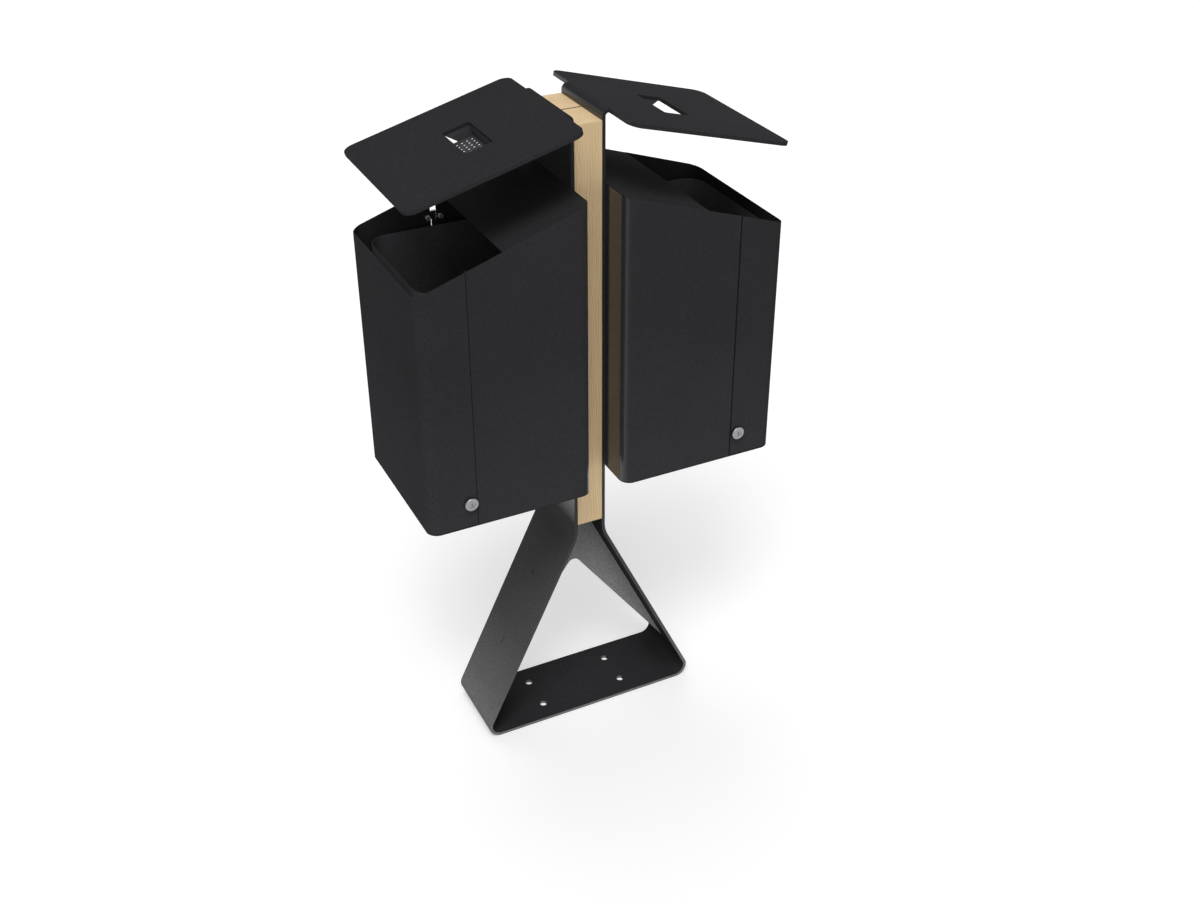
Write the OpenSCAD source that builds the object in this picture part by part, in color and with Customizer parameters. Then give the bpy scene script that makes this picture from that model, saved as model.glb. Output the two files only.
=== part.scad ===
// Double recycling bin: two locked bins on a wooden post between folded side plates.
// X runs along the two bins, the front is at -Y, the floor is Z = 0. Millimetres.
// Every piece of the right half is drawn once, and the left half is its mirror image.

/* [Post] */
// Width of the post between the side plates
post_w = 49; // [40:0.5:70]
// Depth of one plank, front to back
plank_d = 75.5; // [60:0.5:90]
// Joint between the two planks
plank_gap = 1.5; // [0.5:0.5:4]
// Height of the post's lower end above the floor
post_z = 443.5; // [435:0.5:480]
// Length of the post
post_l = 751.5; // [735:0.5:752]
// Rounding of the planks' long edges
plank_edge_r = 1.5; // [0.5:0.5:3]

/* [Side plates] */
// Thickness of the folded flat steel
plate_t = 6; // [4:0.5:8]
// Width of the upright, the leg and the foot
plate_w = 150; // [120:1:152]
// Height at which the leg leaves the upright
knee_z = 415.8; // [400:0.1:420]
// Radius of the knee bend on its hollow side
knee_r = 60; // [20:1:90]
// Distance from the middle at which the leg's outer face would meet the floor
foot_x = 230.4; // [180:0.1:280]
// Outer radius of the foot bend
foot_r = 25; // [12:0.5:40]
// Inner radius of the bend under the roof
roof_bend_r = 5; // [3:0.5:10]

/* [Roof plates] */
// Height of the roof's top plane above the side plate's outer face
roof_z = 1213.7; // [1213:0.1:1240]
// Fall of the roof
roof_slope = 15.1; // [5:0.1:20]
// Distance from the middle to the roof's outer edge
roof_reach = 332.5; // [300:0.5:380]
// How far the roof reaches past the bins, front and back
roof_overhang = 0; // [0:0.5:15]
// Radius of the roof's corners
roof_corner_r = 20; // [5:1:40]
// Distance from the middle to the near edge of the ash opening
ash_hole_x = 149.5; // [120:0.5:170]
// Width of the ash opening
ash_hole_w = 46; // [30:1:60]
// Depth of the ash opening, front to back
ash_hole_d = 100; // [60:1:140]

/* [Foot] */
// Spacing of the floor holes along X
floor_hole_dx = 170; // [120:1:260]
// Spacing of the floor holes along Y
floor_hole_dy = 70; // [50:1:110]
// Diameter of the floor holes
floor_hole_dia = 14; // [8:0.5:18]
// Thickness of the web between the legs
web_t = 6; // [4:0.5:10]
// Height at which the web's two lower edges would meet
web_apex_z = 320; // [280:1:350]
// Fall of the web's lower edges
web_slope = 53.3; // [48:0.1:58]
// Radius under the web's apex
web_apex_r = 13; // [5:1:25]
// Length of a web tab along the leg
tab_l = 12; // [8:1:20]

/* [Bins] */
// Width of a bin along X
bin_w = 300; // [270:1:330]
// Depth of a bin, front to back
bin_d = 300; // [290:1:320]
// Radius of a bin's upright corners
bin_corner_r = 20; // [8:1:30]
// Height of a bin's underside above the floor
bin_z = 557.2; // [500:0.1:580]
// Height of a bin's outer rim above the floor
rim_z = 993.3; // [950:0.1:1020]
// Rise of a bin's top towards the post
lid_slope = 18.4; // [10:0.1:22]
// Thickness of the bins' sheet steel
sheet_t = 2; // [1:0.1:2.5]
// Length of the hood, from the side plate to the throw-in opening
hood_l = 151; // [120:0.5:151]

/* [Doors] */
// Distance from the side plate to the middle of the front seam
front_seam = 214; // [205:0.5:225]
// Distance from the side plate to the hinge axis in the back seam
back_seam = 152.5; // [145:0.5:165]
// Width of the seams
seam_gap = 1; // [0.6:0.1:3]
// Gap between the door and the bin's floor
door_lift = 1; // [0.5:0.1:3]
// Height of the upper hinge's middle
hinge_high_z = 980; // [960:1:985]
// Height of the lower hinge's middle
hinge_low_z = 640; // [620:1:700]

/* [Locks] */
// Height of the lock's middle
lock_z = 606; // [600:1:900]
// Distance from the front seam to the lock's middle
lock_off = 12; // [11:0.1:16]
// Radius of the lock's round head
lock_head_r = 12; // [10.5:0.1:12]
// How far the lock's head stands out of the door
lock_head_h = 7.5; // [5:0.5:9]

/* [Liners] */
// Gap between the liner and the bin's inner wall, where the bolts end
liner_in_gap = 13.5; // [13:0.5:20]
// Gap between the liner and the door's outer wall
liner_out_gap = 18.5; // [16:0.5:40]
// Gap between the liner and the front and back sheets
liner_side_gap = 26; // [24:0.5:50]
// Radius of the liner's corners
liner_corner_r = 35; // [32:1:60]
// Height of the liner's rim above the floor
liner_rim_z = 985; // [900:1:988]
// Thickness of the liner's sheet
liner_t = 1.5; // [0.8:0.1:2]

/* [Hidden] */
$fn = 64;
// Overrun of every cut past the faces it opens
over = 1;

// Places of the faces that the pieces share, on the right half
plate_in = post_w / 2;
plate_out = plate_in + plate_t;
bin_in = plate_out;
bin_out = bin_in + bin_w;
leg_lean = atan((foot_x - plate_out) / knee_z);
foot_turn = 90 + leg_lean;
knee_run = knee_r * tan(leg_lean / 2);
foot_run = foot_r * tan(foot_turn / 2);
leg_l = norm([foot_x - plate_out, knee_z]);

// Roof bend
roof_turn = 90 + roof_slope;
roof_bend_out = roof_bend_r + plate_t;
roof_bend_x = plate_in + roof_bend_out;
roof_bend_z = roof_z - roof_bend_r * tan(roof_slope) - roof_bend_out / cos(roof_slope);
roof_start = (roof_bend_r + roof_bend_out * sin(roof_slope)) / cos(roof_slope);
roof_l = (roof_reach - plate_out) / cos(roof_slope);
roof_d = bin_d + 2 * roof_overhang;
ash_corner_r = 3;

// Web and its tabs, placed by their distance down the leg from the knee
tab_places = [123, 278];
tab_clear = 0.3;

// Front seam: the fixed sheet is folded in and on behind the door's edge
front_seam_x = bin_in + front_seam;
back_seam_x = bin_in + back_seam;
fold_r = 1;
stop_set_back = 5;
stop_l = 9;
stop_top_gap = 15;
stop_notch = 15;

// Hinges
knuckle_r = 4;
knuckle_l = 13;
knuckle_gap = 0.5;
hinge_pin_r = 2;
pin_clear = 0.05;
pin_head_r = 3;
pin_head_h = 1;
hinge_slot_in = 4.3;
hinge_slot_out = 6.3;
hinge_slot_h = 64;
hinge_slot_r = 4;
leaf_w = 17;
leaf_h = 44;
leaf_t = 2;
leaf_screw_x = 6;
leaf_screw_z = 11;
hinge_heights = [hinge_low_z, hinge_high_z];

// M5 hinge screws and nuts
m5_r = 2.5;
m5_hole_r = 2.75;
m5_head_r = 4.75;
m5_head_h = 2.5;
m5_nut_r = 4.6;
m5_nut_h = 4;
m5_tip = 1;

// M8 bolts through both bins, both side plates and the post
bolt_r = 4;
bolt_hole_r = 4.5;
bolt_head_r = 7;
bolt_head_h = 4;
bolt_washer_r = 8;
bolt_washer_t = 1.6;
bolt_nut_r = 7.5;
bolt_nut_h = 6.5;
bolt_tip = 1.5;
bolt_heights = [640, 940];
bolt_y = (plank_d + plank_gap) / 2;

// Cam lock
lock_x = front_seam_x + lock_off;
lock_y = -bin_d / 2;
lock_barrel_r = 8;
lock_hole_clear = 0.2;
lock_edge_r = 2;
lock_nut_r = 11;
lock_nut_h = 3;
lock_plug_r = 5.5;
lock_recess = 0.8;
lock_boss_r = 4;
lock_boss_clear = 0.1;
key_slot_w = 1.4;
key_slot_l = 7;
key_slot_depth = 3;
cam_gap = 0.6;
cam_w = 16;
cam_l = 32;
cam_t = 2;
cam_screw_r = 2;
cam_screw_clear = 0.1;
cam_screw_l = 8;
cam_screw_head_r = 5;
cam_screw_head_h = 2;
barrel_end_y = lock_y + stop_set_back + sheet_t;
cam_y = barrel_end_y + cam_gap;

// Drain holes in the floor of a bin
drain_r = 4;
drain_dx = 200;
drain_dy = 200;

// Ash tray welded under the roof's opening: its floor lies parallel to the roof
ash_tray_t = 1;
ash_tray_depth = 24;
ash_tray_l = 42;
ash_cheek_set_in = 3;
ash_cheek_cut = 45;
ash_grid = [4, 9];
ash_pitch = [9, 9.8];
ash_first_hole = 6.2;
ash_grid_r = 2;

steel = [0.16, 0.16, 0.17];
dark_steel = [0.1, 0.1, 0.11];
zinc = [0.62, 0.63, 0.65];
pine = [0.85, 0.71, 0.5];

// Height of a bin's top plane at a distance from the middle
function top_z(x) = rim_z + (bin_out - x) * tan(lid_slope);

// Rectangle between two corners, with round corners
module round_rect(low, high, r) {
    size = high - low;
    translate(low + [r, 0]) square([size.x - 2 * r, size.y]);
    translate(low + [0, r]) square([size.x, size.y - 2 * r]);
    for (x = [low.x + r, high.x - r], y = [low.y + r, high.y - r])
        translate([x, y]) circle(r);
}

// Turns an outline drawn in X and Z into a plate centred on Y = 0
module plate_xz(width) {
    rotate([90, 0, 0]) linear_extrude(width, center = true) children();
}

// Part of a ring between two angles
module ring_sector(r_in, r_out, from, to) {
    reach = 2 * r_out;
    middle = (from + to) / 2;
    intersection() {
        difference() {
            circle(r_out);
            circle(r_in);
        }
        polygon([
            [0, 0],
            reach * [cos(from), sin(from)],
            reach * [cos(middle), sin(middle)],
            reach * [cos(to), sin(to)]
        ]);
    }
}

// Puts a 2D outline drawn beside the Y axis against the leg's outer face, which runs down from the knee
module on_leg_2d() {
    translate([plate_out, knee_z]) rotate(leg_lean) children();
}

// The same frame for solids
module on_leg() {
    translate([plate_out, 0, knee_z]) rotate([0, -leg_lean, 0]) children();
}

// Frame of the roof's top plane: X runs down the fall, Z stands on the plane
module on_roof() {
    translate([plate_out, 0, roof_z]) rotate([0, roof_slope, 0]) children();
}

// Frame of the bin's top plane, from the outer rim
module on_lid() {
    translate([bin_out, 0, rim_z]) rotate([0, lid_slope, 0]) children();
}

// Outline of the upright, the knee, the leg, the foot bend and half of the foot
module plate_outline() {
    foot_flat = foot_x - foot_run;
    translate([plate_in, knee_z + knee_run])
        square([plate_t, roof_bend_z - knee_z - knee_run]);
    translate([plate_out + knee_r, knee_z + knee_run])
        ring_sector(knee_r, knee_r + plate_t, 180, 180 + leg_lean);
    on_leg_2d() translate([-plate_t, foot_run - leg_l])
        square([plate_t, leg_l - foot_run - knee_run]);
    translate([foot_flat, foot_r])
        ring_sector(foot_r - plate_t, foot_r, -90, leg_lean);
    square([foot_flat, plate_t]);
    translate([roof_bend_x, roof_bend_z])
        ring_sector(roof_bend_r, roof_bend_out, 180 - roof_turn, 180);
}

// Holes for the bolts through the post, along X
module post_bolt_holes() {
    for (y = [-bolt_y, bolt_y], z = bolt_heights)
        translate([0, y, z]) rotate([0, 90, 0])
            cylinder(r = bolt_hole_r, h = 2 * (bin_in + sheet_t + over), center = true);
}

module side_plate() {
    color(steel) difference() {
        union() {
            plate_xz(plate_w) plate_outline();
            on_roof() translate([0, 0, -plate_t]) linear_extrude(plate_t) difference() {
                round_rect([roof_start, -roof_d / 2], [roof_l, roof_d / 2], roof_corner_r);
                round_rect(
                    [(ash_hole_x - plate_out) / cos(roof_slope), -ash_hole_d / 2],
                    [(ash_hole_x - plate_out + ash_hole_w) / cos(roof_slope), ash_hole_d / 2],
                    ash_corner_r
                );
            }
        }
        for (y = [-floor_hole_dy / 2, floor_hole_dy / 2])
            translate([floor_hole_dx / 2, y, -over])
                cylinder(d = floor_hole_dia, h = plate_t + 2 * over);
        on_leg() for (place = tab_places)
            translate([-plate_t / 2, 0, -place])
                cube([plate_t + 2 * over, web_t + 2 * tab_clear, tab_l + 2 * tab_clear], center = true);
        post_bolt_holes();
    }
}

// Point beside the leg's outer face, in X and Z
function leg_point(out, down) = [
    plate_out + out * cos(leg_lean) + down * sin(leg_lean),
    knee_z + out * sin(leg_lean) - down * cos(leg_lean)
];

// Upright plate between the legs, open below its two sloping edges, with tabs through the legs
module foot_web() {
    leg_in_x = plate_out - plate_t / cos(leg_lean);
    corner_z = knee_z - (plate_in - leg_in_x) / tan(leg_lean);
    tip_x = (leg_in_x + (knee_z - web_apex_z) * tan(leg_lean)) / (1 - tan(leg_lean) * tan(web_slope));
    tip_z = web_apex_z - tip_x * tan(web_slope);
    apex_middle_z = web_apex_z - web_apex_r / cos(web_slope);
    arc_z = apex_middle_z + web_apex_r * cos(web_slope);
    arc_x = web_apex_r * sin(web_slope);
    low_z = tip_z - over;
    low_x = (web_apex_z - low_z) / tan(web_slope);
    right = concat(
        [[plate_in, post_z], [plate_in, corner_z]],
        [for (place = tab_places, corner = [[-1, -1], [0, -1], [0, 1], [-1, 1]])
            leg_point(corner[0] * plate_t, place + corner[1] * tab_l / 2)],
        [[tip_x, tip_z]]
    );
    left = [for (i = [len(right) - 1 : -1 : 0]) [-right[i].x, right[i].y]];
    color(steel) plate_xz(web_t) difference() {
        polygon(concat(right, left));
        polygon([[-arc_x, arc_z], [arc_x, arc_z], [low_x, low_z], [-low_x, low_z]]);
        translate([0, apex_middle_z]) circle(web_apex_r);
    }
}

module plank(side) {
    y_near = plank_gap / 2;
    color(pine) difference() {
        translate([0, 0, post_z]) linear_extrude(post_l)
            mirror([0, side < 0 ? 1 : 0])
                round_rect([-plate_in, y_near], [plate_in, y_near + plank_d], plank_edge_r);
        post_bolt_holes();
    }
}

module front_plank() plank(-1);
module back_plank() plank(1);

// Outline of a bin seen from above, inset by a distance
module bin_outline(inset) {
    round_rect(
        [bin_in + inset, -bin_d / 2 + inset],
        [bin_out - inset, bin_d / 2 - inset],
        bin_corner_r - inset
    );
}

// Everything below a bin's top plane, down to a height
module below_lid(low_z) {
    x_near = bin_in - over;
    x_far = bin_out + over;
    plate_xz(bin_d + 2 * over)
        polygon([[x_near, low_z], [x_far, low_z], [x_far, top_z(x_far)], [x_near, top_z(x_near)]]);
}

// Stands an outline on a height and cuts it off at the bin's top plane
module up_to_lid(low_z) {
    intersection() {
        translate([0, 0, low_z]) linear_extrude(top_z(bin_in) - low_z) children();
        below_lid(low_z);
    }
}

// The bin's folded sheet seen from above, before it is parted into body and door
module bin_ring() {
    difference() {
        bin_outline(0);
        bin_outline(sheet_t);
    }
}

// Space that the body keeps, seen from above: up to one edge in front and to another behind
module body_side(front_x, back_x) {
    translate([0, -bin_d / 2 - over]) square([front_x, bin_d / 2 + over]);
    square([back_x, bin_d / 2 + over]);
}

// The body's sheet seen from above: its front edge is folded inwards and on behind the door
module body_ring() {
    edge_x = front_seam_x - seam_gap / 2;
    fold_out = fold_r + sheet_t;
    flange_y = lock_y + stop_set_back;
    intersection() {
        bin_ring();
        body_side(edge_x - fold_out, back_seam_x - seam_gap / 2);
    }
    translate([edge_x - fold_out, lock_y + fold_out]) ring_sector(fold_r, fold_out, -90, 0);
    translate([edge_x - sheet_t, lock_y + fold_out])
        square([sheet_t, stop_set_back - fold_r - fold_out]);
    translate([edge_x + fold_r, flange_y - fold_r]) ring_sector(fold_r, fold_out, 90, 180);
    translate([edge_x + fold_r, flange_y]) square([stop_l - fold_r, sheet_t]);
}

// Windows in the back seam for the hinge knuckles
module hinge_windows() {
    for (z = hinge_heights)
        translate([back_seam_x, bin_d / 2 - sheet_t / 2, z]) plate_xz(sheet_t + 2 * over) round_rect(
            [-hinge_slot_in, -hinge_slot_h / 2],
            [hinge_slot_out, hinge_slot_h / 2],
            hinge_slot_r
        );
}

// Reach of a hinge window from the axis on one side of the seam, -1 on the body and 1 on the door
function slot(side) = side < 0 ? hinge_slot_in : hinge_slot_out;

// Places of the hinge screws on one side of the seam
module leaf_screw_places(side) {
    for (z = hinge_heights, dz = [-leaf_screw_z, leaf_screw_z])
        translate([back_seam_x + side * (slot(side) + leaf_screw_x), bin_d / 2, z + dz]) rotate([90, 0, 0])
            children();
}

module leaf_screw_holes(side) {
    leaf_screw_places(side)
        translate([0, 0, -over]) cylinder(r = m5_hole_r, h = sheet_t + leaf_t + 2 * over);
}

// Cuts the folded flange away beside the lock and at its top
module flange_cuts() {
    edge_x = front_seam_x - seam_gap / 2;
    top = top_z(edge_x + stop_l) - stop_top_gap;
    for (part = [[lock_z - stop_notch, lock_z + stop_notch], [top, top_z(edge_x) + over]])
        translate([edge_x, lock_y - over, part[0]])
            cube([stop_l + over, stop_set_back + sheet_t + 2 * over, part[1] - part[0]]);
}

module bin_body() {
    color(steel) difference() {
        up_to_lid(bin_z + sheet_t) body_ring();
        on_lid() translate([-bin_w / cos(lid_slope) - over, -bin_d / 2 - over, -sheet_t])
            cube([hood_l / cos(lid_slope) + over, bin_d + 2 * over, sheet_t + over]);
        flange_cuts();
        hinge_windows();
        leaf_screw_holes(-1);
        post_bolt_holes();
    }
}

// Sloping cover over the inner half of the bin, with its long edges rounded
module hood() {
    near = bin_w / cos(lid_slope);
    color(steel) intersection() {
        on_lid() translate([-near - sheet_t, 0, 0]) rotate([90, 0, 90])
            linear_extrude(hood_l / cos(lid_slope) + sheet_t) intersection() {
                translate([-bin_d / 2, -sheet_t]) square([bin_d, sheet_t]);
                round_rect([-bin_d / 2, -bin_d / 2], [bin_d / 2, 0], sheet_t);
            }
        linear_extrude(top_z(bin_in) + over) bin_outline(0);
    }
}

module bin_floor() {
    middle_x = bin_in + bin_w / 2;
    color(steel) translate([0, 0, bin_z]) linear_extrude(sheet_t) difference() {
        bin_outline(0);
        for (x = [-drain_dx / 2, drain_dx / 2], y = [-drain_dy / 2, drain_dy / 2])
            translate([middle_x + x, y]) circle(drain_r);
    }
}

module door() {
    color(steel) difference() {
        up_to_lid(bin_z + sheet_t + door_lift) difference() {
            bin_ring();
            body_side(front_seam_x + seam_gap / 2, back_seam_x + seam_gap / 2);
        }
        hinge_windows();
        leaf_screw_holes(1);
        translate([lock_x, lock_y + sheet_t + over, lock_z]) rotate([90, 0, 0])
            cylinder(r = lock_barrel_r + lock_hole_clear, h = sheet_t + 2 * over);
    }
}

// Leaf plates inside the back sheets, on one side of the seam
module leaf_plates(side) {
    for (z = hinge_heights)
        translate([
            back_seam_x + side * (slot(side) + leaf_w / 2),
            bin_d / 2 - sheet_t - leaf_t / 2,
            z
        ]) cube([leaf_w, leaf_t, leaf_h], center = true);
}

// One knuckle, wrapped round the pin from the leaf's plane
module knuckle(side, z_mid) {
    translate([back_seam_x, bin_d / 2, z_mid]) linear_extrude(knuckle_l, center = true) difference() {
        union() {
            circle(knuckle_r);
            translate([side < 0 ? -slot(side) - leaf_t : 0, -knuckle_r])
                square([slot(side) + leaf_t, leaf_t]);
        }
        circle(hinge_pin_r + pin_clear);
    }
}

module frame_leaves() {
    color(steel) difference() {
        union() {
            leaf_plates(-1);
            for (z = hinge_heights) knuckle(-1, z);
        }
        leaf_screw_holes(-1);
    }
}

module door_leaves() {
    color(steel) difference() {
        union() {
            leaf_plates(1);
            for (z = hinge_heights, dz = [-1, 1]) knuckle(1, z + dz * (knuckle_l + knuckle_gap));
        }
        leaf_screw_holes(1);
    }
}

module hinge_pins() {
    half = knuckle_l * 3 / 2 + knuckle_gap;
    color(zinc) for (z = hinge_heights) translate([back_seam_x, bin_d / 2, z]) {
        cylinder(r = hinge_pin_r, h = 2 * half, center = true);
        translate([0, 0, half]) cylinder(r = pin_head_r, h = pin_head_h);
        translate([0, 0, -half - pin_head_h]) cylinder(r = pin_head_r, h = pin_head_h);
    }
}

// Button-headed screw from outside, with its shank through the sheet, the leaf and the nut
module leaf_screws(side) {
    color(zinc) leaf_screw_places(side) {
        translate([0, 0, -m5_head_h]) cylinder(r = m5_head_r, h = m5_head_h);
        cylinder(r = m5_r, h = sheet_t + leaf_t + m5_nut_h + m5_tip);
    }
}

module leaf_nuts(side) {
    color(zinc) leaf_screw_places(side) translate([0, 0, sheet_t + leaf_t])
        hex_nut(m5_nut_r, m5_nut_h, m5_r);
}

module hex_nut(r, h, hole_r) {
    linear_extrude(h) difference() {
        circle(r, $fn = 6);
        circle(hole_r);
    }
}

// Frame of the lock: Z runs from the door's outer face into the bin
module on_lock() {
    translate([lock_x, lock_y, lock_z]) rotate([-90, 0, 0]) children();
}

module lock_barrel() {
    bore_r = lock_plug_r + pin_clear;
    barrel_l = barrel_end_y - lock_y;
    color(zinc) on_lock() rotate_extrude() difference() {
        union() {
            translate([0, -lock_head_h]) intersection() {
                square([lock_head_r, lock_head_h]);
                translate([-lock_head_r, 0])
                    round_rect([0, 0], [2 * lock_head_r, 2 * lock_head_h], lock_edge_r);
            }
            square([lock_barrel_r, barrel_l]);
        }
        translate([0, -lock_head_h - over]) square([bore_r, lock_head_h + barrel_l + 2 * over]);
    }
}

module lock_nut() {
    color(zinc) on_lock() translate([0, 0, sheet_t]) hex_nut(lock_nut_r, lock_nut_h, lock_barrel_r);
}

module lock_plug() {
    face_y = lock_head_h - lock_recess;
    barrel_l = barrel_end_y - lock_y;
    color(zinc) on_lock() difference() {
        union() {
            translate([0, 0, -face_y]) cylinder(r = lock_plug_r, h = face_y + barrel_l + cam_gap);
            cylinder(r = lock_boss_r, h = barrel_l + cam_gap + cam_t);
        }
        translate([-key_slot_w / 2, -key_slot_l / 2, -face_y - over])
            cube([key_slot_w, key_slot_l, key_slot_depth + over]);
        translate([0, 0, barrel_l + cam_gap + cam_t - cam_screw_l])
            cylinder(r = cam_screw_r + cam_screw_clear, h = cam_screw_l + over);
    }
}

// The cam hangs down at rest, and points at the post when the door is locked
module lock_cam() {
    color(zinc) on_lock() translate([0, 0, cam_y - lock_y]) linear_extrude(cam_t) difference() {
        round_rect([-cam_w / 2, -cam_w / 2], [cam_w / 2, cam_l], cam_w / 2 - cam_t);
        circle(lock_boss_r + lock_boss_clear);
    }
}

module cam_screw() {
    color(zinc) on_lock() translate([0, 0, cam_y + cam_t - lock_y]) {
        cylinder(r = cam_screw_head_r, h = cam_screw_head_h);
        translate([0, 0, -cam_screw_l + over]) cylinder(r = cam_screw_r, h = cam_screw_l - over);
    }
}

module liner() {
    low_z = bin_z + sheet_t;
    low = [bin_in + liner_in_gap, -bin_d / 2 + liner_side_gap];
    high = [bin_out - liner_out_gap, bin_d / 2 - liner_side_gap];
    wall = [liner_t, liner_t];
    color(dark_steel) {
        translate([0, 0, low_z]) linear_extrude(liner_t) round_rect(low, high, liner_corner_r);
        translate([0, 0, low_z]) linear_extrude(liner_rim_z - low_z) difference() {
            round_rect(low, high, liner_corner_r);
            round_rect(low + wall, high - wall, liner_corner_r - liner_t);
        }
    }
}

// Ash tray: a wall at the opening's near edge, a perforated floor, and a cheek at each end
module ash_tray() {
    near = (ash_hole_x - plate_out) / cos(roof_slope);
    cheek = ash_hole_w / cos(roof_slope) - ash_cheek_set_in;
    w = ash_hole_d + 2 * ash_tray_t;
    wall_h = ash_tray_depth - plate_t;
    color(dark_steel) on_roof() translate([near, 0, -plate_t]) {
        translate([-ash_tray_t, -w / 2, -wall_h]) cube([ash_tray_t, w, wall_h]);
        translate([-ash_tray_t, 0, -wall_h - ash_tray_t]) linear_extrude(ash_tray_t) difference() {
            translate([0, -w / 2]) square([ash_tray_l, w]);
            for (row = [0 : ash_grid.x - 1], column = [0 : ash_grid.y - 1])
                translate([
                    ash_tray_t + ash_first_hole + row * ash_pitch.x,
                    (column - (ash_grid.y - 1) / 2) * ash_pitch.y
                ]) circle(ash_grid_r);
        }
        for (side = [-1, 1]) translate([0, side * (w - ash_tray_t) / 2, 0]) plate_xz(ash_tray_t)
            polygon([[0, 0], [cheek, 0], [cheek - wall_h * tan(ash_cheek_cut), -wall_h], [0, -wall_h]]);
    }
}

// Places of the bolts through the post, with Z along the bolt
module bolt_places() {
    for (y = [-bolt_y, bolt_y], z = bolt_heights)
        translate([0, y, z]) rotate([0, 90, 0]) children();
}

module post_bolts() {
    seat = bin_in + sheet_t + bolt_washer_t;
    color(zinc) bolt_places() {
        translate([0, 0, -seat - bolt_head_h]) cylinder(r = bolt_head_r, h = bolt_head_h);
        translate([0, 0, -seat]) cylinder(r = bolt_r, h = 2 * seat + bolt_nut_h + bolt_tip);
    }
}

module post_bolt_washers() {
    color(zinc) bolt_places() for (side = [-1, 1])
        translate([0, 0, side * (bin_in + sheet_t + bolt_washer_t / 2)])
            linear_extrude(bolt_washer_t, center = true) difference() {
                circle(bolt_washer_r);
                circle(bolt_hole_r);
            }
}

module post_bolt_nuts() {
    color(zinc) bolt_places() translate([0, 0, bin_in + sheet_t + bolt_washer_t])
        hex_nut(bolt_nut_r, bolt_nut_h, bolt_r);
}

// The left half mirrors the right half
module left() mirror([1, 0, 0]) children();

module left_side_plate() left() side_plate();
module right_side_plate() side_plate();
module left_bin_body() left() bin_body();
module right_bin_body() bin_body();
module left_hood() left() hood();
module right_hood() hood();
module left_bin_floor() left() bin_floor();
module right_bin_floor() bin_floor();
module left_door() left() door();
module right_door() door();
module left_frame_leaves() left() frame_leaves();
module right_frame_leaves() frame_leaves();
module left_door_leaves() left() door_leaves();
module right_door_leaves() door_leaves();
module left_hinge_pins() left() hinge_pins();
module right_hinge_pins() hinge_pins();
module left_frame_screws() left() leaf_screws(-1);
module right_frame_screws() leaf_screws(-1);
module left_frame_nuts() left() leaf_nuts(-1);
module right_frame_nuts() leaf_nuts(-1);
module left_door_screws() left() leaf_screws(1);
module right_door_screws() leaf_screws(1);
module left_door_nuts() left() leaf_nuts(1);
module right_door_nuts() leaf_nuts(1);
module left_lock_barrel() left() lock_barrel();
module right_lock_barrel() lock_barrel();
module left_lock_nut() left() lock_nut();
module right_lock_nut() lock_nut();
module left_lock_plug() left() lock_plug();
module right_lock_plug() lock_plug();
module left_lock_cam() left() lock_cam();
module right_lock_cam() lock_cam();
module left_cam_screw() left() cam_screw();
module right_cam_screw() cam_screw();
module left_liner() left() liner();
module right_liner() liner();
module left_ash_tray() left() ash_tray();
module right_ash_tray() ash_tray();

left_side_plate();
right_side_plate();
foot_web();
front_plank();
back_plank();
left_bin_body();
right_bin_body();
left_hood();
right_hood();
left_bin_floor();
right_bin_floor();
left_door();
right_door();
left_frame_leaves();
right_frame_leaves();
left_door_leaves();
right_door_leaves();
left_hinge_pins();
right_hinge_pins();
left_frame_screws();
right_frame_screws();
left_frame_nuts();
right_frame_nuts();
left_door_screws();
right_door_screws();
left_door_nuts();
right_door_nuts();
left_lock_barrel();
right_lock_barrel();
left_lock_nut();
right_lock_nut();
left_lock_plug();
right_lock_plug();
left_lock_cam();
right_lock_cam();
left_cam_screw();
right_cam_screw();
left_liner();
right_liner();
left_ash_tray();
right_ash_tray();
post_bolts();
post_bolt_washers();
post_bolt_nuts();
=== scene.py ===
"""Looks of the double recycling bin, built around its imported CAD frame.

Metres, +Z up, the front at -Y. The CAD pieces get materials only, their shapes stay as they are.
"""
import math

import bpy
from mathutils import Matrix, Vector

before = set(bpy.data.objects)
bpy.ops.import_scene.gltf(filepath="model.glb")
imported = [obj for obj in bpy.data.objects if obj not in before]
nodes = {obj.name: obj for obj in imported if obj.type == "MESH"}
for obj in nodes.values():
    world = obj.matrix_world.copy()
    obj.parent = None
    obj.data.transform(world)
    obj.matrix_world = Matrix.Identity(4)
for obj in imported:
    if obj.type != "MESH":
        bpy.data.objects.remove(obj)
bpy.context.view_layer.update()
scene = bpy.context.scene

# Half of the joint between the planks and a little more
JOINT_HALF = 0.0017
# Height a little under the post's top
WOOD_TOP = 1.19
# Height of the liners' rim
LINER_RIM = 0.9848
# How much the web's tab ends have to face outwards, times their distance from the middle
TAB_OUTWARD = 0.03
# A normal's part along an axis from which a face counts as a front, a back or an edge
FLAT_ON = 0.5
# How far the legs' faces with painted light look up, and by how much that may differ
TILT, TILT_REACH = 0.2, 0.4

# The powder coat's patterns, from fine to coarse, as noise scales per metre
FLECK, GRAIN, SAND, COARSE, CLOUD = 2200, 900, 380, 170, 9
# Noise scale that breaks up the legs' and the web's painted light like sand
PAINTED_LIGHT_SAND = 430
# The coat's blue against its red and green
BLUISH = 1.08
# Dark and pale grey of the coat on the plates and web, and on the bins
PLATE_GREYS = (0.027, 0.046)
BIN_GREYS = (0.037, 0.062)
# How much of its brightness the coat keeps, as stops over each pattern
CLOUD_SHADE = [(0.3, 0.93), (0.7, 1.0)]
SAND_SHADE = [(0.35, 0.85), (0.65, 1.0)]
COARSE_SHADE = [(0.35, 0.9), (0.65, 1.0)]
# How the painted light on the legs and the web is broken up like sand
PAINTED_LIGHT_BREAKS = [(0.3, 0.48), (0.7, 1.38)]
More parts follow.
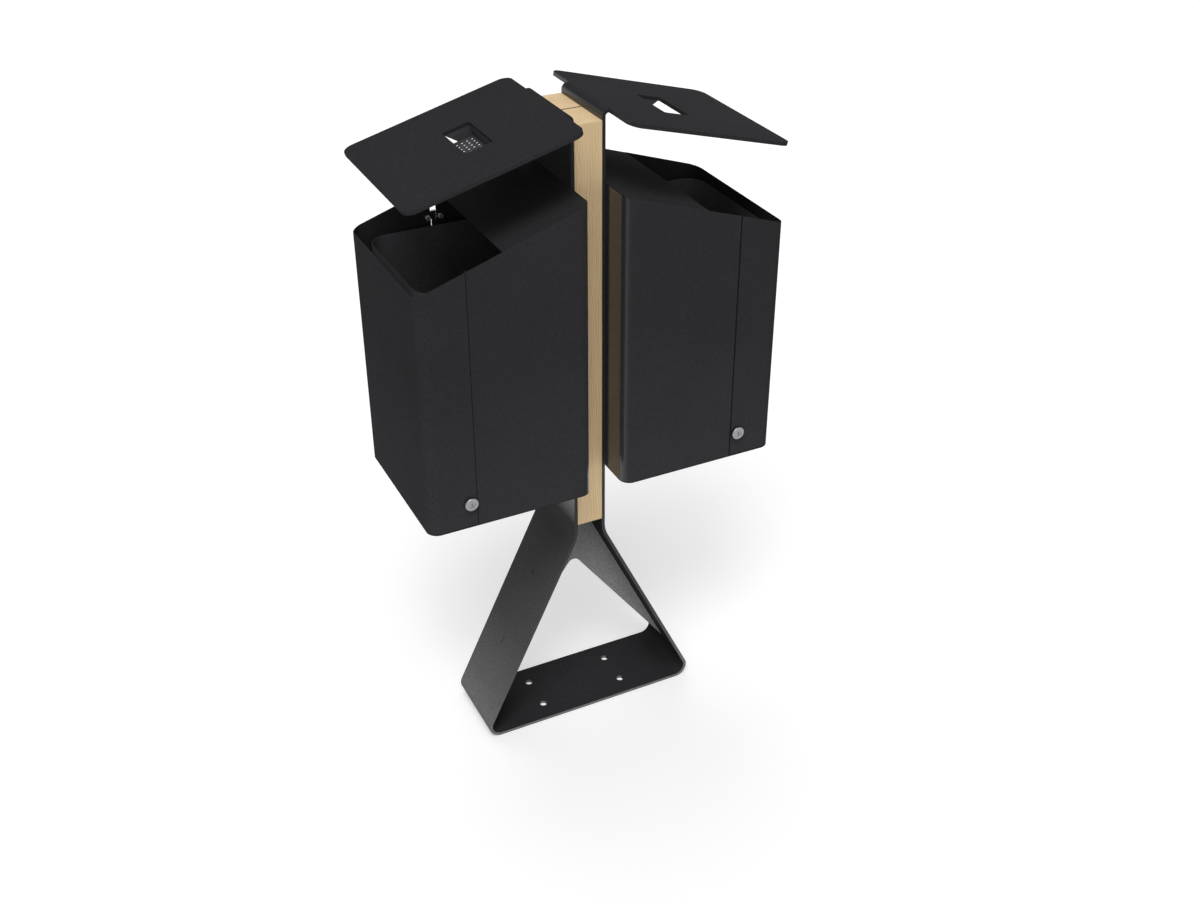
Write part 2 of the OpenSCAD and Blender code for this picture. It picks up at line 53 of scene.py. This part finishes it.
# What is left of the legs' painted light on the tab ends, and of the liners' painted light on their
# rim
TAB_SHARE_OF_PAINTED_LIGHT = (0.6, 0.6, 0.6)
RIM_SHARE_OF_PAINTED_LIGHT = (0.35, 0.35, 0.35)
# Half of the spread in the coat's roughness
GLOSS_SPREAD = 0.05
# Refraction of the dull coat, and what the smooth places add to it
DULL = 1.007
BODY_SMOOTH = 0.45
PLATE_SMOOTH = 0.42
SMOOTH_ROUGHNESS = (0.1, 0.1, 0.1)
# Depth of the coat's relief, and the strength of its grain and of its sand
COAT_DEPTH = 0.0004
GRAIN_RELIEF, SAND_RELIEF = 0.16, 0.08

# Stops over the distance from the middle: only the bins' walls beside the post are smooth
BESIDE_POST = [(0.044, 1.0), (0.052, 0.0)]
# Stops over how much a face looks towards the post or away from it
TOWARDS_POST = [(0.45, 0.0), (0.9, 1.0)]
OVER_WOOD = [(0.75, 0.0), (0.95, 0.8)]
AWAY_FROM_POST = [(0.75, 0.0), (0.97, 1.0)]
# Stops over the height
# Painted light on the legs, strongest near the ground: it stands in for the floor's reflection and
# lifts the shade under the bins
LEG_PAINTED_LIGHT = [(0.0, 0.18), (0.08, 0.11), (0.2, 0.055), (0.36, 0.046), (0.46, 0.03), (0.56, 0.03),
            (0.57, 0.0)]
# Painted light on the web, paler towards the ground
WEB_PAINTED_LIGHT = [(0.15, 0.32), (0.3, 0.25), (0.44, 0.17)]
UNDER_BIN = [(0.44, 0.0), (0.52, 1.0), (0.555, 1.0), (0.57, 0.0)]
# Painted reflection of the floor on the bins: the coat darkens from the bins' bottom upwards
BIN_PAINTED_REFLECTION = [(0.54, 1.0), (0.7, 0.88), (0.85, 0.76)]

# The metals' patterns, as noise scales per metre
MOTTLE, FINE = 260, 1600
# Brightness of a metal's darkest places, how far its roughness goes down and up, and its relief
METAL_LOW = 0.8
METAL_DOWN, METAL_UP = 0.08, 0.1
METAL_DEPTH, METAL_RELIEF = 0.0002, 0.2

# The wood: rings per metre, how far they wander and ripple, and its noise scales per metre
RINGS = 240
WANDER, RIPPLE = 0.02, 0.028
WANDER_SCALE, RIPPLE_SCALE, FIBRE_SCALE, STREAK_SCALE, FADE_SCALE = 2.2, 26, 850, 130, 34
# How a growth ring darkens from its start to its end, where the rings show, and the fibres' shade
RING_DARK = [(0.0, 0.0), (0.55, 0.12), (0.9, 1.0), (1.0, 0.0)]
RINGS_SHOW = [(0.35, 0.2), (0.65, 0.8)]
FIBRE_SHADE = [(0.3, 0.88), (0.7, 1.0)]
FIBRE_ROUGHNESS = [(0.3, 0.62), (0.7, 0.5)]
WOOD_SPECULAR = 0.35
FIBRE_DEPTH, FIBRE_RELIEF = 0.0004, 0.3
RING_DEPTH, RING_RELIEF = 0.0003, 0.15
PALE_WOOD = (0.87, 0.66, 0.39)
WARM_WOOD = (0.77, 0.56, 0.31)
RING_WOOD = (0.55, 0.36, 0.17)
JOINT_WOOD = (0.03, 0.018, 0.008)

# Greys of the floor, lit and as seen, and the glow that it has where it is seen
FLOOR_SIZE = 60
FLOOR_GREY = (0.8, 0.8, 0.8)
FLOOR_SEEN = (0.79, 0.79, 0.79)
FLOOR_GLOW = 0.35
# The world's light, and what it gains where it is seen
WORLD_LIGHT = 0.3
WORLD_GAIN = 0.7

BLACK = (0.0, 0.0, 0.0)
WHITE = (1.0, 1.0, 1.0)


def new_material(name):
    """An empty material with its node tree, its output and one Principled shader."""
    m = bpy.data.materials.new(name)
    m.use_nodes = True
    tree = m.node_tree
    tree.nodes.clear()
    out = tree.nodes.new("ShaderNodeOutputMaterial")
    shader = tree.nodes.new("ShaderNodeBsdfPrincipled")
    tree.links.new(shader.outputs[0], out.inputs["Surface"])
    return m, tree, shader


def coords(tree, scale=(1, 1, 1), move=(0, 0, 0)):
    """Coordinates in metres of the part's own frame, stretched."""
    texture = tree.nodes.new("ShaderNodeTexCoord")
    mapping = tree.nodes.new("ShaderNodeMapping")
    mapping.inputs["Location"].default_value = move
    mapping.inputs["Scale"].default_value = scale
    tree.links.new(texture.outputs["Object"], mapping.inputs["Vector"])
    return mapping.outputs[0]


def noise(tree, vector, scale, detail, rough):
    """Noise from 0 to 1, by its scale, its number of finer layers and their strength."""
    n = tree.nodes.new("ShaderNodeTexNoise")
    n.inputs["Scale"].default_value = scale
    n.inputs["Detail"].default_value = detail
    n.inputs["Roughness"].default_value = rough
    n.inputs["Distortion"].default_value = 0.0
    tree.links.new(vector, n.inputs["Vector"])
    return n.outputs["Fac"]


def ramp(tree, value, stops):
    """Colours along a value, as (place, grey or colour) stops."""
    r = tree.nodes.new("ShaderNodeValToRGB")
    els = r.color_ramp.elements
    while len(els) < len(stops):
        els.new(0.5)
    for el, (place, colour) in zip(els, stops):
        el.position = place
        c = (colour,) * 3 if isinstance(colour, (int, float)) else colour
        el.color = (*c, 1)
    tree.links.new(value, r.inputs[0])
    return r.outputs[0]


def math_node(tree, op, a, b=0):
    """One calculation with numbers or sockets. Some kinds have no second value."""
    m = tree.nodes.new("ShaderNodeMath")
    m.operation = op
    for socket, v in zip(m.inputs, (a, b)):
        if isinstance(v, (int, float)):
            socket.default_value = v
        else:
            tree.links.new(v, socket)
    return m.outputs[0]


def mix(tree, share, a, b, kind="MIX"):
    """Mixes two colours, each a colour or a socket."""
    m = tree.nodes.new("ShaderNodeMix")
    m.data_type = "RGBA"
    m.blend_type = kind
    for socket, v in ((m.inputs[0], share), (m.inputs[6], a), (m.inputs[7], b)):
        if isinstance(v, (int, float)):
            socket.default_value = v
        elif isinstance(v, tuple):
            socket.default_value = (*v, 1)
        else:
            tree.links.new(v, socket)
    return m.outputs[2]


def times(tree, a, b):
    """One colour multiplied by another."""
    return mix(tree, 1.0, a, b, "MULTIPLY")


def plus(tree, a, b):
    """One colour added to another."""
    return mix(tree, 1.0, a, b, "ADD")


def bump(tree, shader, *layers):
    """Stacks bump layers, each (height, distance in metres, strength)."""
    last = None
    for height, distance, strength in layers:
        b = tree.nodes.new("ShaderNodeBump")
        b.inputs["Distance"].default_value = distance
        b.inputs["Strength"].default_value = strength
        tree.links.new(height, b.inputs["Height"])
        if last:
            tree.links.new(last, b.inputs["Normal"])
        last = b.outputs[0]
    tree.links.new(last, shader.inputs["Normal"])


def parts_of(tree, vector):
    """The X, Y and Z of a vector, each a socket."""
    split = tree.nodes.new("ShaderNodeSeparateXYZ")
    tree.links.new(vector, split.inputs[0])
    return split.outputs["X"], split.outputs["Y"], split.outputs["Z"]


def facing(tree):
    """The X, Y and Z of the surface's own normal."""
    return parts_of(tree, tree.nodes.new("ShaderNodeNewGeometry").outputs["Normal"])


def size_of(tree, value):
    """A value without its sign."""
    return math_node(tree, "ABSOLUTE", value)


def outward(tree, x, out_x):
    """How much a face looks away from the post, from -1 to 1, on the left as on the right."""
    return math_node(tree, "MULTIPLY", out_x, math_node(tree, "SIGN", x))


def negative(tree, value):
    """A value with the other sign."""
    return math_node(tree, "MULTIPLY", value, -1)


def smooth_places(tree, shader, where, gain):
    """Raises the coat's refraction over the dull one, by a share from 0 to 1."""
    gained = math_node(tree, "MULTIPLY", where, gain)
    tree.links.new(math_node(tree, "ADD", gained, DULL), shader.inputs["IOR"])


def powder_coat(name, low, high, roughness, polished=False):
    """Fine-textured powder coat: a sandy grain in colour, gloss and height, a little bluish."""
    m, tree, shader = new_material(name)
    at = coords(tree)
    grain = noise(tree, at, GRAIN, 2.0, 0.6)
    sand = noise(tree, at, SAND, 2.0, 0.7)
    base = ramp(tree, grain, [(0.3, (low, low, low * BLUISH)), (0.72, (high, high, high * BLUISH))])
    cloudy = ramp(tree, noise(tree, at, CLOUD, 3.0, 0.5), CLOUD_SHADE)
    sandy = ramp(tree, sand, SAND_SHADE)
    coarse = ramp(tree, noise(tree, at, COARSE, 2.0, 0.7), COARSE_SHADE)
    base = times(tree, base, times(tree, cloudy, sandy))
    base = times(tree, base, coarse)
    tree.links.new(base, shader.inputs["Base Color"])
    fleck = noise(tree, at, FLECK, 1.0, 0.5)
    gloss = ramp(tree, fleck, [(0.3, roughness - GLOSS_SPREAD), (0.7, roughness + GLOSS_SPREAD)])
    if polished:
        # The walls beside the post are smooth, the rest is dull
        x = parts_of(tree, at)[0]
        inward = negative(tree, outward(tree, x, facing(tree)[0]))
        polish = times(tree, ramp(tree, inward, TOWARDS_POST),
                       ramp(tree, size_of(tree, x), BESIDE_POST))
        gloss = mix(tree, polish, gloss, SMOOTH_ROUGHNESS)
        smooth_places(tree, shader, polish, BODY_SMOOTH)
    else:
        shader.inputs["IOR"].default_value = DULL
    tree.links.new(gloss, shader.inputs["Roughness"])
    bump(tree, shader, (grain, COAT_DEPTH, GRAIN_RELIEF), (sand, COAT_DEPTH, SAND_RELIEF))
    return m, tree, shader, base


def add_painted_light(tree, shader, base, painted_light):
    """Adds painted light, a grey broken up like sand, to the coat's colour."""
    sand = noise(tree, coords(tree), PAINTED_LIGHT_SAND, 3.0, 0.75)
    painted_light = times(tree, painted_light, ramp(tree, sand, PAINTED_LIGHT_BREAKS))
    tree.links.new(plus(tree, base, painted_light), shader.inputs["Base Color"])


def side_plate_coat(name, low, high, roughness):
    """The coat with painted light by height on the leg's outer faces and edges, and two smooth
    places.
    """
    m, tree, shader, base = powder_coat(name, low, high, roughness)
    x, _, z = parts_of(tree, coords(tree))
    out_x, out_y, out_z = facing(tree)
    # Faces that look down or far up get no painted light
    tilt = size_of(tree, math_node(tree, "SUBTRACT", out_z, TILT))
    upright = math_node(tree, "LESS_THAN", tilt, TILT_REACH)
    outer = math_node(tree, "GREATER_THAN", math_node(tree, "MULTIPLY", out_x, x), 0.0)
    edge = math_node(tree, "GREATER_THAN", size_of(tree, out_y), FLAT_ON)
    painted_faces = math_node(tree, "MULTIPLY", upright, math_node(tree, "MAXIMUM", outer, edge))
    # The grey is painted light: it stands in for the floor's reflection near the ground and on the
    # edges, and lifts the shade under the bins
    add_painted_light(tree, shader, base, mix(tree, painted_faces, BLACK, ramp(tree, z, LEG_PAINTED_LIGHT)))
    # The short upright stretch under the bin is smooth, and so is the roof's bend over the wood
    away = outward(tree, x, out_x)
    stretch = times(tree, ramp(tree, away, AWAY_FROM_POST), ramp(tree, z, UNDER_BIN))
    bend = times(tree, ramp(tree, negative(tree, away), OVER_WOOD),
                 math_node(tree, "GREATER_THAN", z, WOOD_TOP))
    smooth_places(tree, shader, plus(tree, stretch, bend), PLATE_SMOOTH)
    return m


def foot_web_coat(name, low, high, roughness):
    """The coat with painted light by height on the web's front and back, and less on its tabs'
    ends.
    """
    m, tree, shader, base = powder_coat(name, low, high, roughness)
    x, _, z = parts_of(tree, coords(tree))
    out_x, out_y, _ = facing(tree)
    painted_faces = math_node(tree, "GREATER_THAN", size_of(tree, out_y), FLAT_ON)
    painted_light = mix(tree, painted_faces, BLACK, ramp(tree, z, WEB_PAINTED_LIGHT))
    # The tabs end in the legs' outer faces and get a little less of the legs' painted light there
    tab_end = math_node(tree, "GREATER_THAN", math_node(tree, "MULTIPLY", out_x, x), TAB_OUTWARD)
    tab_painted_light = times(tree, ramp(tree, z, LEG_PAINTED_LIGHT), TAB_SHARE_OF_PAINTED_LIGHT)
    add_painted_light(tree, shader, base, mix(tree, tab_end, painted_light, tab_painted_light))
    return m


def bin_coat(name, low, high, roughness, polished=False):
    """The bins' coat, a little paler towards the ground, a painted reflection of the floor."""
    m, tree, shader, base = powder_coat(name, low, high, roughness, polished)
    pale = ramp(tree, parts_of(tree, coords(tree))[2], BIN_PAINTED_REFLECTION)
    # Painted reflection of the floor, paler low down
    tree.links.new(times(tree, base, pale), shader.inputs["Base Color"])
    return m


def liner_sheet(name, low, high, roughness):
    """The liners' matt coat, paled as painted light for the shade inside the bins, with a darker
    rim that keeps less of it.
    """
    m, tree, shader, base = powder_coat(name, low, high, roughness)
    rim = math_node(tree, "GREATER_THAN", parts_of(tree, coords(tree))[2], LINER_RIM)
    dark = mix(tree, rim, WHITE, RIM_SHARE_OF_PAINTED_LIGHT)
    tree.links.new(times(tree, base, dark), shader.inputs["Base Color"])
    return m


def metal(name, colour, roughness, metallic=1.0):
    """Plated steel with a faint mottle."""
    m, tree, shader = new_material(name)
    at = coords(tree)
    mottle = noise(tree, at, MOTTLE, 3.0, 0.55)
    fine = noise(tree, at, FINE, 2.0, 0.5)
    low = tuple(c * METAL_LOW for c in colour)
    base = ramp(tree, mottle, [(0.3, low), (0.7, colour)])
    gloss = ramp(tree, fine, [(0.3, roughness - METAL_DOWN), (0.7, roughness + METAL_UP)])
    tree.links.new(base, shader.inputs["Base Color"])
    tree.links.new(gloss, shader.inputs["Roughness"])
    shader.inputs["Metallic"].default_value = metallic
    bump(tree, shader, (fine, METAL_DEPTH, METAL_RELIEF))
    return m


def pine(name, pith):
    """Pine with growth rings round a pith beside the plank, so that end and long grain agree."""
    m, tree, shader = new_material(name)
    from_x, from_y, _ = parts_of(tree, coords(tree, move=pith))
    square_x = math_node(tree, "POWER", from_x, 2)
    square_y = math_node(tree, "POWER", from_y, 2)
    radius = math_node(tree, "SQRT", math_node(tree, "ADD", square_x, square_y))
    wander = noise(tree, coords(tree, (3, 3, 0.9)), WANDER_SCALE, 2.0, 0.5)
    ripple = noise(tree, coords(tree, (1, 1, 0.4)), RIPPLE_SCALE, 2.0, 0.5)
    for value, reach in ((wander, WANDER), (ripple, RIPPLE)):
        radius = math_node(tree, "ADD", radius, math_node(tree, "MULTIPLY", value, reach))
    ring = math_node(tree, "FRACT", math_node(tree, "MULTIPLY", radius, RINGS))
    rings = ramp(tree, ring, RING_DARK)
    # The grain fades in and out along the plank
    fade = noise(tree, coords(tree, (1, 1, 0.12)), FADE_SCALE, 2.0, 0.6)
    fade = ramp(tree, fade, RINGS_SHOW)
    fibre = noise(tree, coords(tree, (1, 1, 0.018)), FIBRE_SCALE, 3.0, 0.6)
    streak = noise(tree, coords(tree, (1, 1, 0.03)), STREAK_SCALE, 2.0, 0.55)
    light = mix(tree, streak, PALE_WOOD, WARM_WOOD)
    colour = mix(tree, times(tree, rings, fade), light, RING_WOOD)
    colour = times(tree, colour, ramp(tree, fibre, FIBRE_SHADE))
    # The two faces in the joint between the planks are dark
    from_joint = size_of(tree, parts_of(tree, coords(tree))[1])
    joint = math_node(tree, "LESS_THAN", from_joint, JOINT_HALF)
    tree.links.new(mix(tree, joint, colour, JOINT_WOOD), shader.inputs["Base Color"])
    tree.links.new(ramp(tree, fibre, FIBRE_ROUGHNESS), shader.inputs["Roughness"])
    shader.inputs["Specular IOR Level"].default_value = WOOD_SPECULAR
    bump(tree, shader, (fibre, FIBRE_DEPTH, FIBRE_RELIEF), (rings, RING_DEPTH, RING_RELIEF))
    return m


coat = powder_coat("black_powder_coat", 0.028, 0.048, 0.24)[0]
door_coat = bin_coat("door_coat", *BIN_GREYS, 0.24)
body_coat = bin_coat("bin_body_coat", *BIN_GREYS, 0.24, polished=True)
plate_coat = side_plate_coat("side_plate_coat", *PLATE_GREYS, 0.24)
web_coat = foot_web_coat("web_coat", *PLATE_GREYS, 0.3)
# The ash tray wears a paler copy of the black coat, painted light against the shade in its opening
tray_painted_light_coat = powder_coat("ash_tray_painted_light_coat", 0.065, 0.095, 0.4)[0]
# The liners' greys are painted light, far paler than their dark sheet, to lift the shade inside the
# bins
liner_painted_light_coat = liner_sheet("liner_painted_light_coat", 0.09, 0.13, 0.5)
zinc = metal("zinc_plate", (0.5, 0.51, 0.53), 0.36)
# The nuts' zinc is pale and barely metallic, painted light so that the nuts look bright in the
# shade
nut_zinc_painted_light = metal("zinc_nuts_painted_light", (0.85, 0.85, 0.85), 0.4, 0.25)
nickel = metal("satin_nickel", (0.34, 0.34, 0.35), 0.3)
front_pine = pine("pine_front", (0.062, 0.105, 0))
back_pine = pine("pine_back", (-0.058, -0.12, 0))

# The first word that is in a piece's name says what it wears, and the rest wears the plain coat
LOOKS = (
    ("front_plank", front_pine),
    ("back_plank", back_pine),
    ("liner", liner_painted_light_coat),
    ("ash_tray", tray_painted_light_coat),
    ("barrel", nickel),
    ("plug", nickel),
    ("frame_nuts", nut_zinc_painted_light),
    ("door_nuts", nut_zinc_painted_light),
    ("screw", zinc),
    ("nut", zinc),
    ("bolt", zinc),
    ("pin", zinc),
    ("cam", zinc),
    ("leaves", coat),
    ("door", door_coat),
    ("bin_body", body_coat),
    ("side_plate", plate_coat),
    ("web", web_coat),
)
for name, o in nodes.items():
    o.data.materials.clear()
    o.data.materials.append(next((look for word, look in LOOKS if word in name), coat))


def seen_directly(tree):
    """One where the camera sees the surface, also by reflection or through glass, else zero."""
    path = tree.nodes.new("ShaderNodeLightPath")
    seen = math_node(tree, "MAXIMUM", path.outputs["Is Camera Ray"], path.outputs["Is Glossy Ray"])
    return math_node(tree, "MAXIMUM", seen, path.outputs["Is Transmission Ray"])


# Floor, in one plane far beyond the view
bpy.ops.mesh.primitive_plane_add(size=FLOOR_SIZE, location=(0, 0, 0))
floor = bpy.context.object
floor.name = "floor"
floor_look, tree, shader = new_material("pale_floor")
seen = seen_directly(tree)
tree.links.new(mix(tree, seen, FLOOR_GREY, FLOOR_SEEN), shader.inputs["Base Color"])
tree.links.new(math_node(tree, "MULTIPLY", seen, FLOOR_GLOW), shader.inputs["Emission Strength"])
shader.inputs["Emission Color"].default_value = (*WHITE, 1)
shader.inputs["Roughness"].default_value = 1.0
shader.inputs["Specular IOR Level"].default_value = 0.0
floor.data.materials.append(floor_look)

# World: plain light from all round, white where it is seen
world = bpy.data.worlds.new("plain")
scene.world = world
world.use_nodes = True
tree = world.node_tree
tree.nodes.clear()
out = tree.nodes.new("ShaderNodeOutputWorld")
background = tree.nodes.new("ShaderNodeBackground")
background.inputs["Color"].default_value = (*WHITE, 1)
gain = math_node(tree, "MULTIPLY", seen_directly(tree), WORLD_GAIN)
tree.links.new(math_node(tree, "ADD", gain, WORLD_LIGHT), background.inputs["Strength"])
tree.links.new(background.outputs[0], out.inputs["Surface"])


def sun(name, towards, strength, angle):
    """Soft light that shines in a direction, from a disc of so many degrees."""
    data = bpy.data.lights.new(name, "SUN")
    data.energy = strength
    data.angle = math.radians(angle)
    o = bpy.data.objects.new(name, data)
    scene.collection.objects.link(o)
    o.rotation_euler = Vector(towards).to_track_quat("-Z", "Y").to_euler()


sun("key", (0.42, 0.5, -1), 0.9, 24)
sun("front", (0.12, 0.45, -1), 0.62, 24)
sun("back", (0.0, -0.4, -1), 0.6, 36)
sun("fill", (0.3, 1, -0.25), 0.45, 70)

# The photo's camera, solved from the object's straight edges
camera_data = bpy.data.cameras.new("camera")
camera_data.lens = 43.64
camera_data.sensor_width = 36
camera = bpy.data.objects.new("camera", camera_data)
scene.collection.objects.link(camera)
camera.location = (-0.95530, -2.03841, 1.96056)
camera.rotation_euler = (math.radians(57.93), 0, math.radians(-26.43))
scene.camera = camera

scene.view_settings.view_transform = "Standard"
